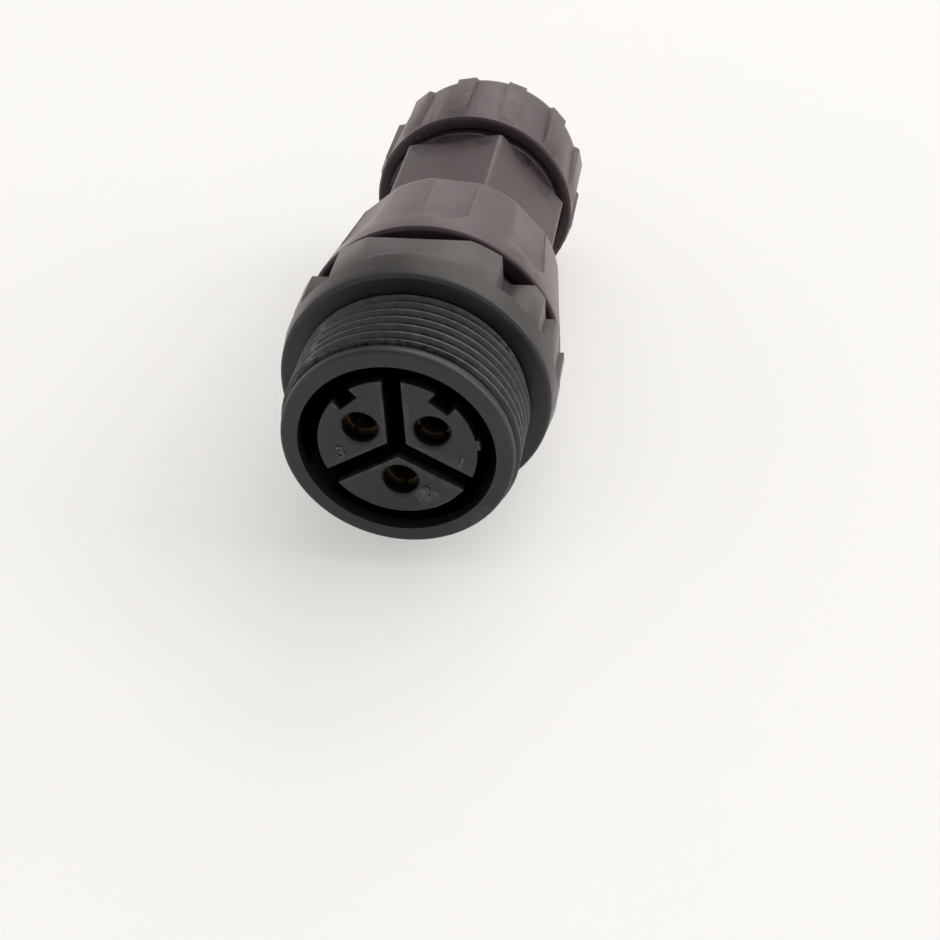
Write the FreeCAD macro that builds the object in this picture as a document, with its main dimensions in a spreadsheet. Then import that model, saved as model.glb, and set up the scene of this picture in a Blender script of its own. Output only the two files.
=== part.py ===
import FreeCAD, Part
import math
import os
import Sketcher

# Inline socket connector: three contacts, a threaded coupling and a cable gland, in millimetres.
# The connector's axis lies along Y, with the open mouth towards -Y and the cable end towards +Y.
# +Z is up, through the upper arm of the insert's slot, and +X is to the right seen from the front.
# Each piece is drawn from the mouth's front face, and then moved back along the axis, so that the
# origin is in the middle of the coupling thread.

doc = FreeCAD.newDocument("inline_socket_connector")

VALUES = {
    # Front shell: the mouth and its lip
    "cavity_radius": 11.45,
    "cavity_depth": 13.0,
    "lip_radius": 13.5,
    "lip_length": 1.3,
    "lip_round": 0.55,
    # Front shell: the coupling thread, 28 mm across with a pitch of 1.5 mm
    "coupling_radius": 14.0,
    "coupling_depth": 0.9,
    "coupling_front": 1.7,
    "coupling_length": 9.0,
    # Front shell: the flange and the grip behind it
    "flange_front": 11.2,
    "flange_round": 0.55,
    "grip_rise": 0.5,
    "grip_slope_length": 3.8,
    "grip_rear": 20.3,
    "grip_flat_inset": 1.15,
    "grip_flat_length": 5.0,
    "notch_length": 6.1,
    "notch_corner": 0.8,
    "upper_notch_inset": 7.05,
    "upper_notch_floor": 9.9,
    "middle_notch_inset": 2.15,
    "middle_notch_floor": 5.3,
    "lower_notch_inset": 0.55,
    "lower_notch_floor": 0.6,
    # Front shell: the seat of the insert and the threaded neck for the rear shell
    "shoulder_radius": 9.6,
    "shoulder_length": 1.2,
    "seat_radius": 11.15,
    "neck_radius": 13.5,
    "neck_length": 10.2,
    # Ring that seals the two shells
    "seal_land_start": 2.3,
    "seal_land_width": 2.1,
    "seal_land_radius": 12.9,
    "seal_section_radius": 0.65,
    # Clearances
    "seam_gap": 1.9,
    "thread_clearance": 0.1,
    "fit_clearance": 0.05,
    "screw_clearance": 0.03,
    # Insert with its three lobes, and its gasket
    "insert_front": 0.5,
    "lobe_radius": 9.2,
    "slot_width": 2.2,
    "slot_floor_thickness": 1.0,
    "key_angle": 41.0,
    "key_width": 2.8,
    "key_floor_radius": 7.7,
    "lobe_rib_angle": 84.0,
    "lobe_rib_width": 1.3,
    "lobe_rib_height": 0.4,
    "insert_flange_length": 2.5,
    "gasket_thickness": 0.7,
    "gasket_width": 1.4,
    # Terminal housing and the ring that locks it
    "housing_flange_length": 2.45,
    "housing_radius": 10.3,
    "housing_length": 19.45,
    "ring_length": 2.95,
    "ring_slot_width": 2.0,
    "ring_slot_depth": 1.2,
    # Contacts
    "contact_count": 3,
    "contact_pitch_radius": 4.78,
    "mouth_radius": 2.08,
    "mouth_depth": 2.5,
    "mouth_chamfer": 0.35,
    "socket_radius": 2.3,
    "socket_bore_radius": 1.85,
    "socket_bore_depth": 9.5,
    "split_width": 0.5,
    "split_length": 7.0,
    "spring_start": 1.6,
    "spring_length": 1.8,
    "spring_thickness": 0.25,
    "barrel_radius": 3.2,
    "barrel_inset": 0.6,
    "wire_bore_radius": 1.95,
    "wire_bore_depth": 9.5,
    # Terminal screws and the feet that they press on the wires
    "screw_radius": 1.5,
    "screw_length": 3.3,
    "screw_inset": 4.5,
    "screw_slot_width": 0.6,
    "screw_slot_depth": 0.8,
    "screw_way_radius": 1.7,
    "foot_width": 1.4,
    "foot_length": 2.6,
    "foot_thickness": 0.5,
    "foot_height": 1.2,
    # Rear shell: its outside
    "rear_turn": 51.0,
    "rim_wall": 1.7,
    "rim_step": 0.75,
    "rim_length": 0.6,
    "rim_round": 0.5,
    "taper_length": 16.0,
    "taper_rear_radius": 14.0,
    "transition_length": 15.9,
    "hex_corner_radius": 12.9,
    "hex_length": 15.0,
    "rear_shell_length": 32.1,
    "recess_count": 8,
    "recess_width": 5.6,
    "recess_draft": 30.0,
    "recess_start": 3.4,
    "recess_length": 20.0,
    "recess_front_height": 15.1,
    "recess_slope": 6.8,
    # Rear shell: its inside and the gland's neck
    "mouth_length": 3.0,
    "neck_end_gap": 0.5,
    "chamber_radius": 11.9,
    "chamber_length": 7.0,
    "throat_radius": 8.6,
    "throat_length": 2.5,
    "claw_seat_depth": 4.5,
    "gland_bore_radius": 9.3,
    "gland_neck_radius": 12.0,
    "gland_neck_length": 8.7,
    # Clamping claw and cable seal
    "claw_inner_radius": 7.3,
    "claw_lip_radius": 6.4,
    "claw_lip_length": 0.95,
    "claw_foot_length": 4.5,
    "claw_length": 16.45,
    "claw_taper_length": 3.8,
    "claw_tip_radius": 8.0,
    "claw_count": 8,
    "claw_slot_width": 1.2,
    "seal_length": 15.1,
    "cable_radius": 4.5,
    # Gland nut and the washer inside it
    "nut_gap": 1.6,
    "nut_radius": 13.6,
    "nut_tail_radius": 13.1,
    "nut_length": 14.9,
    "nut_edge": 0.3,
    "nut_round": 3.0,
    "nut_bore_depth": 9.7,
    "nut_cone_radius": 10.2,
    "nut_cone_length": 4.4,
    "nut_entry_radius": 6.6,
    "rib_count": 12,
    "nut_turn": 21.5,
    "rib_width": 2.6,
    "rib_radius": 13.9,
    "rib_start": 0.4,
    "rib_fade": 2.0,
    "rib_length": 12.4,
    "washer_thickness": 0.8,
    "washer_inner_radius": 9.6,
}

sheet = doc.addObject("Spreadsheet::Sheet", "Sizes")
for row, (alias, number) in enumerate(VALUES.items(), start=1):
    sheet.set("A%d" % row, alias)
    sheet.set("B%d" % row, repr(number))
    sheet.setAlias("B%d" % row, alias)
doc.recompute()


class Size:
    """A size with its number and the formula that ties it to the sheet."""

    def __init__(self, number, formula=None):
        self.number = number
        self.formula = repr(number) if formula is None else formula

    def combine(self, other, sign, number):
        return Size(number, "(%s %s %s)" % (self.formula, sign, as_size(other).formula))

    def __add__(self, other):
        return self.combine(other, "+", self.number + as_size(other).number)

    def __sub__(self, other):
        return self.combine(other, "-", self.number - as_size(other).number)

    def __mul__(self, other):
        return self.combine(other, "*", self.number * as_size(other).number)

    def __truediv__(self, other):
        return self.combine(other, "/", self.number / as_size(other).number)

    def __neg__(self):
        return Size(-self.number, "(-1 * %s)" % self.formula)


def as_size(value):
    """A plain number as a size, and a size as it is."""
    return value if isinstance(value, Size) else Size(value)


class SizeSheet:
    """Reads each alias of the sheet as a size."""

    def __getattr__(self, alias):
        return Size(VALUES[alias], "Sizes." + alias)


def cosine(angle):
    return Size(math.cos(math.radians(angle.number)), "cos(%s)" % angle.formula)


def sine(angle):
    return Size(math.sin(math.radians(angle.number)), "sin(%s)" % angle.formula)


s = SizeSheet()

# Places along the axis, from the mouth's front face, and radii that several pieces share
origin_place = s.coupling_front + s.coupling_length / 2
shoulder_rear = s.cavity_depth + s.shoulder_length
gasket_front = shoulder_rear + s.fit_clearance
gasket_rear = gasket_front + s.gasket_thickness
insert_flange_front = gasket_rear + s.fit_clearance
insert_rear = insert_flange_front + s.insert_flange_length
housing_front = insert_rear + s.fit_clearance
housing_flange_rear = housing_front + s.housing_flange_length
housing_rear = housing_front + s.housing_length
ring_front = housing_flange_rear + s.fit_clearance
ring_rear = ring_front + s.ring_length
seated_radius = s.seat_radius - s.fit_clearance
contact_front = s.insert_front + s.mouth_depth + s.fit_clearance
screw_place = housing_rear - s.screw_inset
neck_rear = s.grip_rear + s.neck_length
land_front = s.grip_rear + s.seal_land_start
land_rear = land_front + s.seal_land_width
shell_front = s.grip_rear + s.seam_gap
shell_mouth = s.seal_land_radius + (s.seal_section_radius + s.fit_clearance) * 2
shell_bore = s.neck_radius + s.thread_clearance
rim_radius = shell_mouth + s.rim_wall
grip_radius = rim_radius + s.rim_step
flange_radius = grip_radius - s.grip_rise
grip_flat_height = grip_radius - s.grip_flat_inset
upper_notch_side = grip_radius - s.upper_notch_inset
middle_notch_side = grip_radius - s.middle_notch_inset
lower_notch_side = grip_radius - s.lower_notch_inset
bore_end = neck_rear + s.neck_end_gap
taper_rear = shell_front + s.taper_length
hex_rear = shell_front + s.rear_shell_length
hex_flat_radius = s.hex_corner_radius * cosine(Size(30.0))
gland_neck_rear = hex_rear + s.gland_neck_length
claw_seat = hex_rear - s.claw_seat_depth
claw_front = claw_seat + s.fit_clearance
claw_rear = claw_front + s.claw_length
nut_front = hex_rear + s.nut_gap
nut_shoulder = nut_front + s.nut_bore_depth
nut_rear = nut_front + s.nut_length
washer_rear = nut_shoulder - s.fit_clearance
BEYOND = 40.0
OVERCUT = 1.0


def new_body(label):
    body = doc.addObject("PartDesign::Body", label)
    body.Label = label
    return body


def origin_feature(body, role):
    return [item for item in body.Origin.OriginFeatures if item.Role == role][0]


def new_sketch(body, name, plane, shift=None):
    """A sketch on one of the body's own planes, moved along that plane's normal by shift."""
    sketch = body.newObject("Sketcher::SketchObject", body.Label + "_" + name)
    sketch.AttachmentSupport = (origin_feature(body, plane), [""])
    sketch.MapMode = "FlatFace"
    if shift is not None:
        sketch.AttachmentOffset = FreeCAD.Placement(
            FreeCAD.Vector(0, 0, shift.number), FreeCAD.Rotation())
        sketch.setExpression("AttachmentOffset.Base.z", shift.formula)
    return sketch


def hold(sketch, kind, geometry, point, value):
    """Ties one coordinate of a point to a size, measured from the sketch's origin."""
    value = as_size(value)
    if abs(value.number) < 1e-9:
        axis = -2 if kind == "DistanceX" else -1
        sketch.addConstraint(Sketcher.Constraint("PointOnObject", geometry, point, axis))
        return
    if value.number > 0:
        constraint = Sketcher.Constraint(kind, -1, 1, geometry, point, value.number)
        formula = value.formula
    else:
        constraint = Sketcher.Constraint(kind, geometry, point, -1, 1, -value.number)
        formula = (-value).formula
    index = sketch.addConstraint(constraint)
    sketch.setExpression("Constraints[%d]" % index, formula)


def draw_outline(sketch, corners):
    """Adds a closed outline of straight runs, with each corner held at its two sizes."""
    points = [FreeCAD.Vector(as_size(u).number, as_size(v).number, 0) for u, v in corners]
    first = sketch.GeometryCount
    count = len(points)
    for index in range(count):
        sketch.addGeometry(Part.LineSegment(points[index], points[(index + 1) % count]), False)
    for index in range(count):
        following = first + (index + 1) % count
        sketch.addConstraint(Sketcher.Constraint("Coincident", first + index, 2, following, 1))
    for index, (u, v) in enumerate(corners):
        hold(sketch, "DistanceX", first + index, 1, u)
        hold(sketch, "DistanceY", first + index, 1, v)


def draw_box(sketch, left, right, low, high):
    draw_outline(sketch, [(left, low), (right, low), (right, high), (left, high)])


def draw_circle(sketch, u, v, radius):
    centre = FreeCAD.Vector(as_size(u).number, as_size(v).number, 0)
    number = sketch.addGeometry(
        Part.Circle(centre, FreeCAD.Vector(0, 0, 1), radius.number), False)
    index = sketch.addConstraint(Sketcher.Constraint("Radius", number, radius.number))
    sketch.setExpression("Constraints[%d]" % index, radius.formula)
    hold(sketch, "DistanceX", number, 3, u)
    hold(sketch, "DistanceY", number, 3, v)


def draw_round_slot(sketch, radius, length):
    """An outline like a U: it is round at the origin, and straight-sided and open away from it."""
    reach = FreeCAD.Vector(radius.number, radius.number, 0)
    centre = FreeCAD.Vector(0, radius.number, 0)
    circle = Part.Circle(centre, FreeCAD.Vector(0, 0, 1), radius.number)
    arc = sketch.addGeometry(Part.ArcOfCircle(circle, math.pi, 2 * math.pi), False)
    corners = [
        (radius, radius),
        (radius, length),
        (-radius, length),
        (-radius, radius),
    ]
    points = [FreeCAD.Vector(u.number, v.number, 0) for u, v in corners]
    sides = [sketch.addGeometry(Part.LineSegment(points[index], points[index + 1]), False)
             for index in range(3)]
    sketch.addConstraint(Sketcher.Constraint("Coincident", arc, 2, sides[0], 1))
    sketch.addConstraint(Sketcher.Constraint("Coincident", sides[0], 2, sides[1], 1))
    sketch.addConstraint(Sketcher.Constraint("Coincident", sides[1], 2, sides[2], 1))
    sketch.addConstraint(Sketcher.Constraint("Coincident", sides[2], 2, arc, 1))
    for side, point, (u, v) in zip(sides + [sides[2]], (1, 1, 1, 2), corners):
        hold(sketch, "DistanceX", side, point, u)
        hold(sketch, "DistanceY", side, point, v)
    hold(sketch, "DistanceY", arc, 3, radius)


def turn_profile(body, name, corners, kind="PartDesign::Revolution"):
    """Turns an outline, given as (place along the axis, radius), about the connector's axis."""
    sketch = new_sketch(body, name + "_profile", "YZ_Plane")
    draw_outline(sketch, corners)
    feature = body.newObject(kind, body.Label + "_" + name)
    feature.Profile = sketch
    feature.ReferenceAxis = (sketch, ["H_Axis"])
    feature.Angle = 360
    doc.recompute()
    return feature


def extrude(body, name, sketch, length, kind, reverse):
    feature = body.newObject(kind, body.Label + "_" + name)
    feature.Profile = sketch
    feature.Type = "Length"
    feature.Length = length.number
    feature.setExpression("Length", length.formula)
    feature.Reversed = reverse
    doc.recompute()
    return feature


def cut_along(body, name, sketch, length):
    """Pockets a sketch by a length along its normal."""
    return extrude(body, name, sketch, length, "PartDesign::Pocket", True)


def cut_against(body, name, sketch, length):
    """Pockets a sketch by a length against its normal."""
    return extrude(body, name, sketch, length, "PartDesign::Pocket", False)


def pad_along(body, name, sketch, length):
    """Pads a sketch by a length along its normal."""
    return extrude(body, name, sketch, length, "PartDesign::Pad", False)


def repeat_round(body, features, count):
    """Repeats features round the connector's axis."""
    pattern = body.newObject("PartDesign::PolarPattern", features[0].Name + "_round")
    pattern.Originals = features
    pattern.Axis = (origin_feature(body, "Y_Axis"), [""])
    pattern.Angle = 360
    pattern.Occurrences = int(count.number)
    pattern.setExpression("Occurrences", count.formula)
    body.Tip = pattern
    doc.recompute()
    return pattern


def round_ring_edge(body, name, size, place, radius):
    """Rounds the edge that runs round the axis at a place along it, with a radius."""
    base = body.Tip
    names = []
    for index, edge in enumerate(base.Shape.Edges):
        curve = edge.Curve
        if isinstance(curve, Part.Circle):
            centre = curve.Center
            off_axis = math.hypot(centre.x, centre.z)
            off_place = abs(centre.y - place.number)
            if max(off_axis, off_place, abs(curve.Radius - radius.number)) < 1e-4:
                names.append("Edge%d" % (index + 1))
    feature = body.newObject("PartDesign::Fillet", body.Label + "_" + name)
    feature.Base = (base, names)
    feature.Radius = size.number
    feature.setExpression("Radius", size.formula)
    doc.recompute()
    return feature


def place_body(body, angle=Size(0.0)):
    """Turns a finished body about the connector's axis and moves it into the shared frame."""
    body.Placement = FreeCAD.Placement(
        FreeCAD.Vector(0, 0, 0), FreeCAD.Rotation(FreeCAD.Vector(0, 1, 0), angle.number))
    body.setExpression("Placement.Rotation.Angle", angle.formula)
    body.setExpression("Placement.Base.y", (-origin_place).formula)


def place_at_contact(body, angle):
    """Moves a piece that is modelled on the axis to its contact's place and turns it outwards."""
    across = sine(angle) * s.contact_pitch_radius
    up = cosine(angle) * s.contact_pitch_radius
    place_body(body, angle)
    body.setExpression("Placement.Base.x", across.formula)
    body.setExpression("Placement.Base.z", up.formula)


# Front shell: one moulding with the mouth, the coupling thread, the flange, the grip and the neck
front_shell = new_body("front_shell")
coupling_root = s.coupling_radius - s.coupling_depth
coupling_rear = s.coupling_front + s.coupling_length
turn_profile(front_shell, "shell", [
    (0, s.cavity_radius),
    (0, s.lip_radius),
    (s.lip_length, s.lip_radius),
    (s.lip_length, coupling_root),
    (s.coupling_front, coupling_root),
    (s.coupling_front, s.coupling_radius),
    (coupling_rear, s.coupling_radius),
    (coupling_rear, coupling_root),
    (s.flange_front, coupling_root),
    (s.flange_front, flange_radius),
    (s.flange_front + s.grip_slope_length, grip_radius),
    (s.grip_rear, grip_radius),
    (s.grip_rear, s.neck_radius),
    (land_front, s.neck_radius),
    (land_front, s.seal_land_radius),
    (land_rear, s.seal_land_radius),
    (land_rear, s.neck_radius),
    (neck_rear, s.neck_radius),
    (neck_rear, s.seat_radius),
    (shoulder_rear, s.seat_radius),
    (shoulder_rear, s.shoulder_radius),
    (s.cavity_depth, s.shoulder_radius),
    (s.cavity_depth, s.cavity_radius),
])
round_ring_edge(front_shell, "lip_edge", s.lip_round, Size(0.0), s.lip_radius)
round_ring_edge(front_shell, "flange_edge", s.flange_round, s.flange_front, flange_radius)

# The grip's flats above and below, and the stepped notches down each of its sides
flats = new_sketch(front_shell, "flats_outline", "XZ_Plane", -s.grip_rear)
for flip in (1, -1):
    draw_box(flats, -BEYOND, BEYOND, grip_flat_height * flip, BEYOND * flip)
cut_along(front_shell, "flats", flats, s.grip_flat_length)

notches = new_sketch(front_shell, "notches_outline", "XZ_Plane", -s.grip_rear)
for side in (1, -1):
    for flip in (1, -1):
        draw_outline(notches, [
            (upper_notch_side * side, BEYOND * flip),
            (upper_notch_side * side, (s.upper_notch_floor + s.notch_corner) * flip),
            ((upper_notch_side + s.notch_corner) * side, s.upper_notch_floor * flip),
            (BEYOND * side, s.upper_notch_floor * flip),
            (BEYOND * side, BEYOND * flip),
        ])
cut_along(front_shell, "notches", notches, s.notch_length)


def notch_top(wall):
    """The height at which a notch's upright wall comes out of the grip's round surface."""
    height = math.sqrt(grip_radius.number ** 2 - wall.number ** 2)
    return Size(height, "sqrt(%s ^ 2 - %s ^ 2)" % (grip_radius.formula, wall.formula))


for name, wall, floor in (
        ("middle", middle_notch_side, s.middle_notch_floor),
        ("lower", lower_notch_side, s.lower_notch_floor)):
    outline = new_sketch(front_shell, name + "_notches_outline", "XZ_Plane", -s.grip_rear)
    for side in (1, -1):
        for flip in (1, -1):
            draw_outline(outline, [
                (wall * side, floor * flip),
                (BEYOND * side, floor * flip),
                (BEYOND * side, notch_top(wall) * flip),
                (wall * side, notch_top(wall) * flip),
            ])
    cut_along(front_shell, name + "_notches", outline, s.notch_length)
place_body(front_shell)

# Ring that seals the rear shell on the neck
body_o_ring = doc.addObject("Part::Torus", "body_o_ring")
body_o_ring.Label = "body_o_ring"
body_o_ring.setExpression("Radius1", (s.seal_land_radius + s.fit_clearance
                                      + s.seal_section_radius).formula)
body_o_ring.setExpression("Radius2", s.seal_section_radius.formula)
body_o_ring.Placement = FreeCAD.Placement(
    FreeCAD.Vector(0, 0, 0), FreeCAD.Rotation(FreeCAD.Vector(1, 0, 0), -90))
body_o_ring.setExpression("Placement.Base.y",
                          (land_front + s.seal_land_width / 2 - origin_place).formula)

# Insert: the insulating carrier, with three lobes in the mouth and a flange behind the shoulder
socket_insert = new_body("socket_insert")
base_radius = s.shoulder_radius - s.fit_clearance
turn_profile(socket_insert, "carrier", [
    (s.insert_front, 0),
    (s.insert_front, s.lobe_radius),
    (s.cavity_depth, s.lobe_radius),
    (s.cavity_depth, base_radius),
    (insert_flange_front, base_radius),
    (insert_flange_front, seated_radius),
    (insert_rear, seated_radius),
    (insert_rear, 0),
])
slot_depth = s.cavity_depth - s.slot_floor_thickness - s.insert_front
arm = new_sketch(socket_insert, "slot_arm_outline", "XZ_Plane", -s.insert_front)
half_slot = s.slot_width / 2
draw_box(arm, -half_slot, half_slot, 0, s.lobe_radius + OVERCUT)
slot_arm = cut_against(socket_insert, "slot_arm", arm, slot_depth)
repeat_round(socket_insert, [slot_arm], s.contact_count)


def turned_box(sketch, angle, width, inner, outer):
    """A box in the cross section that lies along a line from the axis, at an angle from above."""
    half = width / 2
    corners = []
    for reach, offset in ((inner, -half), (inner, half), (outer, half), (outer, -half)):
        corners.append((sine(angle) * reach + cosine(angle) * offset,
                        cosine(angle) * reach - sine(angle) * offset))
    draw_outline(sketch, corners)


lobe_depth = s.cavity_depth - s.insert_front
for name, side in (("right", 1), ("left", -1)):
    key = new_sketch(socket_insert, name + "_key_outline", "XZ_Plane", -s.insert_front)
    turned_box(key, s.key_angle * side, s.key_width, s.key_floor_radius, s.lobe_radius + OVERCUT)
    cut_against(socket_insert, name + "_key", key, slot_depth)
lobe_rib = new_sketch(socket_insert, "lobe_rib_outline", "XZ_Plane", -s.cavity_depth)
turned_box(lobe_rib, s.lobe_rib_angle, s.lobe_rib_width,
           s.lobe_radius - OVERCUT, s.lobe_radius + s.lobe_rib_height)
pad_along(socket_insert, "lobe_rib", lobe_rib, lobe_depth)


def contact_bores(body, name, radius, start, end):
    """One straight bore for the lowest contact, repeated for the others."""
    sketch = new_sketch(body, name + "_outline", "XZ_Plane", -start)
    draw_circle(sketch, 0, -s.contact_pitch_radius, radius)
    bore = cut_against(body, name, sketch, end - start)
    repeat_round(body, [bore], s.contact_count)


socket_way_radius = s.socket_radius + s.thread_clearance
contact_bores(socket_insert, "mouth", s.mouth_radius, s.insert_front, s.cavity_depth)
contact_bores(socket_insert, "socket_way", socket_way_radius,
              s.insert_front + s.mouth_depth, insert_rear + OVERCUT)
mouths = socket_insert.Tip
mouth_edges = []
for index, edge in enumerate(mouths.Shape.Edges):
    if isinstance(edge.Curve, Part.Circle):
        off_place = abs(edge.Curve.Center.y - s.insert_front.number)
        if max(off_place, abs(edge.Curve.Radius - s.mouth_radius.number)) < 1e-4:
            mouth_edges.append("Edge%d" % (index + 1))
mouth_bevel = socket_insert.newObject("PartDesign::Chamfer", "socket_insert_mouth_bevel")
mouth_bevel.Base = (mouths, mouth_edges)
mouth_bevel.Size = s.mouth_chamfer.number
mouth_bevel.setExpression("Size", s.mouth_chamfer.formula)
doc.recompute()
place_body(socket_insert)

# Gasket between the shoulder and the insert's flange
insert_gasket = new_body("insert_gasket")
turn_profile(insert_gasket, "ring", [
    (gasket_front, seated_radius - s.gasket_width),
    (gasket_front, seated_radius),
    (gasket_rear, seated_radius),
    (gasket_rear, seated_radius - s.gasket_width),
])
place_body(insert_gasket)

# Terminal housing: it carries the wire ends of the contacts, and screws are reached from outside
terminal_housing = new_body("terminal_housing")
turn_profile(terminal_housing, "housing", [
    (housing_front, 0),
    (housing_front, seated_radius),
    (housing_flange_rear, seated_radius),
    (housing_flange_rear, s.housing_radius),
    (housing_rear, s.housing_radius),
    (housing_rear, 0),
])
barrel_way_radius = s.barrel_radius + s.fit_clearance
contact_bores(terminal_housing, "barrel_way", barrel_way_radius,
              housing_front, housing_rear + OVERCUT)
screw_way = new_sketch(terminal_housing, "screw_way_outline", "XY_Plane", -s.contact_pitch_radius)
draw_circle(screw_way, 0, screw_place, s.screw_way_radius)
screw_way_cut = cut_against(terminal_housing, "screw_way", screw_way, s.housing_radius)
repeat_round(terminal_housing, [screw_way_cut], s.contact_count)
place_body(terminal_housing)

# Ring behind the housing's flange, with two slots for a pin spanner
insert_lock_ring = new_body("insert_lock_ring")
ring_inner_radius = s.housing_radius + s.fit_clearance
turn_profile(insert_lock_ring, "ring", [
    (ring_front, ring_inner_radius),
    (ring_front, seated_radius),
    (ring_rear, seated_radius),
    (ring_rear, ring_inner_radius),
])
ring_slot = new_sketch(insert_lock_ring, "slot_outline", "XZ_Plane", -ring_rear)
half_ring_slot = s.ring_slot_width / 2
draw_box(ring_slot, -half_ring_slot, half_ring_slot, ring_inner_radius - OVERCUT, seated_radius + OVERCUT)
ring_slot_cut = cut_along(insert_lock_ring, "slot", ring_slot, s.ring_slot_depth)
repeat_round(insert_lock_ring, [ring_slot_cut], Size(2))
place_body(insert_lock_ring)


def make_contact(number, angle):
    """A brass contact: a split socket in front, and a barrel for the wire behind."""
    body = new_body("socket_contact_%d" % number)
    groove_front = contact_front + s.spring_start
    groove_rear = groove_front + s.spring_length
    groove_radius = s.socket_radius - s.spring_thickness
    barrel_rear = housing_rear - s.barrel_inset
    turn_profile(body, "pin", [
        (contact_front, s.socket_bore_radius),
        (contact_front, s.socket_radius),
        (groove_front, s.socket_radius),
        (groove_front, groove_radius),
        (groove_rear, groove_radius),
        (groove_rear, s.socket_radius),
        (housing_front, s.socket_radius),
        (housing_front, s.barrel_radius),
        (barrel_rear, s.barrel_radius),
        (barrel_rear, s.wire_bore_radius),
        (barrel_rear - s.wire_bore_depth, s.wire_bore_radius),
        (barrel_rear - s.wire_bore_depth, 0),
        (contact_front + s.socket_bore_depth, 0),
        (contact_front + s.socket_bore_depth, s.socket_bore_radius),
    ])
    split = new_sketch(body, "split_outline", "XZ_Plane", -(contact_front + s.split_length))
    half_split = s.split_width / 2
    reach = s.socket_radius + OVERCUT
    draw_box(split, -half_split, half_split, -reach, reach)
    cut_along(body, "split", split, s.split_length)
    cross_split = new_sketch(body, "cross_split_outline", "XZ_Plane",
                             -(contact_front + s.split_length))
    draw_box(cross_split, -reach, reach, -half_split, half_split)
    cut_along(body, "cross_split", cross_split, s.split_length)
    hole = new_sketch(body, "screw_hole_outline", "XY_Plane")
    draw_circle(hole, 0, screw_place, s.screw_radius + s.screw_clearance)
    cut_along(body, "screw_hole", hole, s.barrel_radius + OVERCUT)
    place_at_contact(body, angle)


def make_spring(number, angle):
    """A steel ring, split once, that closes the contact's fingers."""
    body = new_body("contact_spring_%d" % number)
    front = contact_front + s.spring_start + s.fit_clearance
    rear = contact_front + s.spring_start + s.spring_length - s.fit_clearance
    inner = s.socket_radius - s.spring_thickness + s.screw_clearance
    turn_profile(body, "ring", [
        (front, inner),
        (front, inner + s.spring_thickness),
        (rear, inner + s.spring_thickness),
        (rear, inner),
    ])
    gap = new_sketch(body, "gap_outline", "XY_Plane")
    half_gap = s.split_width / 2
    draw_box(gap, -half_gap, half_gap, front - OVERCUT, rear + OVERCUT)
    cut_along(body, "gap", gap, s.socket_radius + OVERCUT)
    place_at_contact(body, angle)


def make_foot(number, angle):
    """The small foot under a terminal screw, which presses on the wire without turning."""
    body = new_body("clamp_foot_%d" % number)
    outline = new_sketch(body, "foot_outline", "XY_Plane", s.foot_height)
    half_width = s.foot_width / 2
    half_length = s.foot_length / 2
    draw_box(outline, -half_width, half_width,
             screw_place - half_length, screw_place + half_length)
    pad_along(body, "foot", outline, s.foot_thickness)
    place_at_contact(body, angle)


def make_screw(number, angle):
    """A slotted terminal screw that stands outwards from its contact's barrel."""
    body = new_body("terminal_screw_%d" % number)
    low = s.foot_height + s.foot_thickness + s.fit_clearance
    outline = new_sketch(body, "shank_outline", "XY_Plane", low)
    draw_circle(outline, 0, screw_place, s.screw_radius)
    pad_along(body, "shank", outline, s.screw_length)
    slot = new_sketch(body, "slot_outline", "XY_Plane", low + s.screw_length)
    half_width = s.screw_slot_width / 2
    reach = s.screw_radius + OVERCUT
    draw_box(slot, -reach, reach, screw_place - half_width, screw_place + half_width)
    cut_against(body, "slot", slot, s.screw_slot_depth)
    place_at_contact(body, angle)


# Contact 1 is in the right lobe, contact 2 in the lower one and contact 3 in the left one
for number in range(1, int(s.contact_count.number) + 1):
    angle = Size(360.0) * (number - 0.5) / s.contact_count
    make_contact(number, angle)
    make_spring(number, angle)
    make_foot(number, angle)
    make_screw(number, angle)

# Rear shell: a tapered body with sunk recesses round it, and a hexagon before the gland's neck
rear_shell = new_body("rear_shell")
waist_radius = hex_flat_radius - s.thread_clearance
turn_profile(rear_shell, "shell", [
    (shell_front, shell_mouth),
    (shell_front, rim_radius),
    (shell_front + s.rim_length, rim_radius),
    (taper_rear, s.taper_rear_radius),
    (taper_rear + s.transition_length, waist_radius),
    (hex_rear, waist_radius),
    (hex_rear, s.throat_radius),
    (claw_seat - s.throat_length, s.throat_radius),
    (bore_end + s.chamber_length, s.chamber_radius),
    (bore_end, s.chamber_radius),
    (bore_end, shell_bore),
    (shell_front + s.mouth_length, shell_bore),
    (shell_front + s.mouth_length, shell_mouth),
])
round_ring_edge(rear_shell, "rim_edge", s.rim_round, shell_front, rim_radius)

# Each recess is sunk to a sloping floor, with a round front, leaning walls and an open rear
recess = new_sketch(rear_shell, "recess_outline", "XY_Plane")
recess.AttachmentOffset = FreeCAD.Placement(
    FreeCAD.Vector(0, (shell_front + s.recess_start).number, s.recess_front_height.number),
    FreeCAD.Rotation(FreeCAD.Vector(-1, 0, 0), s.recess_slope.number))
recess.setExpression("AttachmentOffset.Base.y", (shell_front + s.recess_start).formula)
recess.setExpression("AttachmentOffset.Base.z", s.recess_front_height.formula)
recess.setExpression("AttachmentOffset.Rotation.Angle", s.recess_slope.formula)
draw_round_slot(recess, s.recess_width / 2, s.recess_length)
recess_cut = cut_along(rear_shell, "recess", recess, rim_radius - s.recess_front_height + OVERCUT)
recess_cut.TaperAngle = s.recess_draft.number
recess_cut.setExpression("TaperAngle", s.recess_draft.formula)
doc.recompute()
repeat_round(rear_shell, [recess_cut], s.recess_count)

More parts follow.
